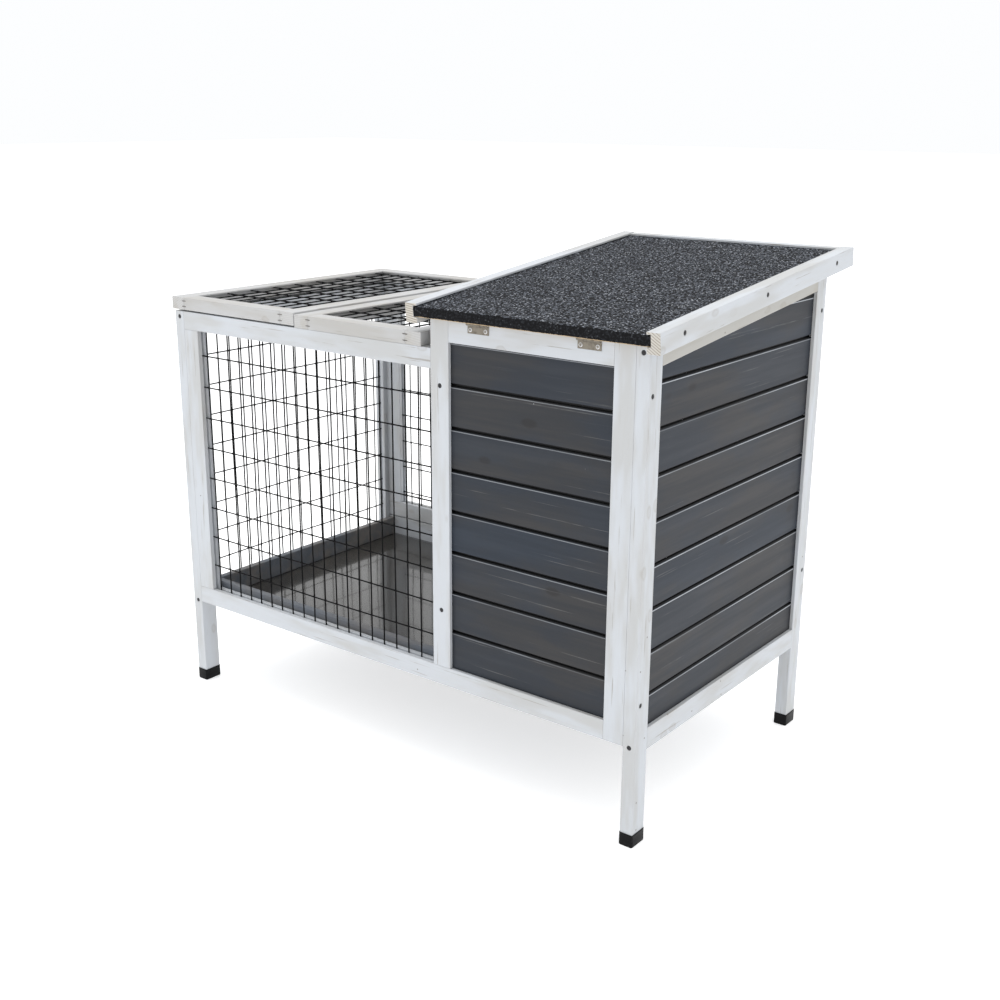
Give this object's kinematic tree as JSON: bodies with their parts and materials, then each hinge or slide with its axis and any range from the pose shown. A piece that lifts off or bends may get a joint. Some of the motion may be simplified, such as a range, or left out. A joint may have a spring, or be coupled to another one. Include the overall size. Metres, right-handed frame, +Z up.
{
  "type": "rabbit hutch",
  "caption": "Rabbit hutch on legs: wire run with a hinged lid, boarded house with a felted hinged roof, a door, a divider with doorway and a slide-out tray.",
  "frame": {"origin": "on the ground under the centre of the whole hutch's box, roof overhangs included", "axes": "+X along the hutch from the wire run to the house, +Y from the back panel (where the roof is hinged) to the front with the door and tray, +Z up"},
  "size_m": [0.928, 0.5568, 0.7711],
  "materials": {
    "whitewashed_fir": "thin white paint over fir, grain and knots showing faintly",
    "grey_stained_boards": "slate grey stain, satin",
    "bare_fir_board": "unpainted board under the felt",
    "mineral_felt": "bitumen felt with black and grey mineral granules",
    "black_coated_wire": "black coating over welded wire",
    "foot_cap_plastic": "moulded black",
    "hinge_metal": "plated, dull",
    "bright_steel": "zinc plated",
    "sheet_liner": "galvanised sheet, glossy"
  },
  "bodies": {
    "hutch": {"leg_back_left": "whitewashed_fir", "leg_back_right": "whitewashed_fir", "leg_front_left": "whitewashed_fir", "leg_front_right": "whitewashed_fir", "foot_caps": "foot_cap_plastic", "back_bottom_rail": "whitewashed_fir", "back_left_stile": "whitewashed_fir", "back_middle_stile": "whitewashed_fir", "back_right_stile": "whitewashed_fir", "back_run_top_rail": "whitewashed_fir", "back_house_top_rail": "whitewashed_fir", "back_siding": "grey_stained_boards", "back_mesh": "black_coated_wire", "front_bottom_rail": "whitewashed_fir", "front_left_stile": "whitewashed_fir", "front_middle_stile": "whitewashed_fir", "front_right_stile": "whitewashed_fir", "front_run_top_rail": "whitewashed_fir", "front_house_top_rail": "whitewashed_fir", "front_mesh": "black_coated_wire", "left_bottom_rail": "whitewashed_fir", "left_top_rail": "whitewashed_fir", "left_mesh": "black_coated_wire", "right_bottom_rail": "whitewashed_fir", "right_top_rail": "whitewashed_fir", "right_siding": "grey_stained_boards", "divider_posts": "whitewashed_fir", "divider_rails": "whitewashed_fir", "divider_back_boards": "grey_stained_boards", "divider_front_boards": "grey_stained_boards", "divider_head_boards": "grey_stained_boards", "tray_runners": "whitewashed_fir", "fixed_lid_stiles": "whitewashed_fir", "fixed_lid_rails": "whitewashed_fir", "fixed_lid_mesh": "black_coated_wire", "roof_hinge_plates": "hinge_metal", "lid_hinge_plates": "hinge_metal", "door_hinge_plates": "hinge_metal", "hinge_pins": "bright_steel", "frame_screws": "bright_steel", "button_screw": "bright_steel"},
    "roof": {"roof_board": "bare_fir_board", "roof_felt": "mineral_felt", "left_barge_board": "whitewashed_fir", "right_barge_board": "whitewashed_fir", "ridge_strip": "whitewashed_fir", "roof_hinge_leaves": "hinge_metal", "roof_screws": "bright_steel"},
    "lid": {"lid_stiles": "whitewashed_fir", "lid_rails": "whitewashed_fir", "lid_mesh": "black_coated_wire", "lid_hinge_leaves": "hinge_metal"},
    "tray": {"tray_front": "whitewashed_fir", "tray_walls": "grey_stained_boards", "tray_floor": "grey_stained_boards", "tray_liner": "sheet_liner"},
    "door": {"door_stiles": "whitewashed_fir", "door_rails": "whitewashed_fir", "door_boards": "grey_stained_boards", "door_hinge_leaves": "hinge_metal"},
    "button": {"turn_button": "whitewashed_fir"}
  },
  "joints": [
    {"name": "roof_hinge", "type": "hinge", "parent": "hutch", "child": "roof", "pos_m": [0.2555, -0.26536, 0.69077], "axis": [1, 0, 0], "range_deg": [0, 100]},
    {"name": "lid_hinge", "type": "hinge", "parent": "hutch", "child": "lid", "pos_m": [-0.323, 0.24044, 0.65125], "axis": [-1, 0, 0], "range_deg": [0, 180]},
    {"name": "tray_slide", "type": "slide", "parent": "hutch", "child": "tray", "axis": [0, 1, 0], "range_m": [0, 0.43]},
    {"name": "door_hinge", "type": "hinge", "parent": "hutch", "child": "door", "pos_m": [0.389, 0.24044, 0.46565], "axis": [0, 0, -1], "range_deg": [0, 170]},
    {"name": "button_turn", "type": "hinge", "parent": "hutch", "child": "button", "pos_m": [0.105, 0.23755, 0.46565], "axis": [0, 1, 0], "range_deg": [0, 90]}
  ]
}
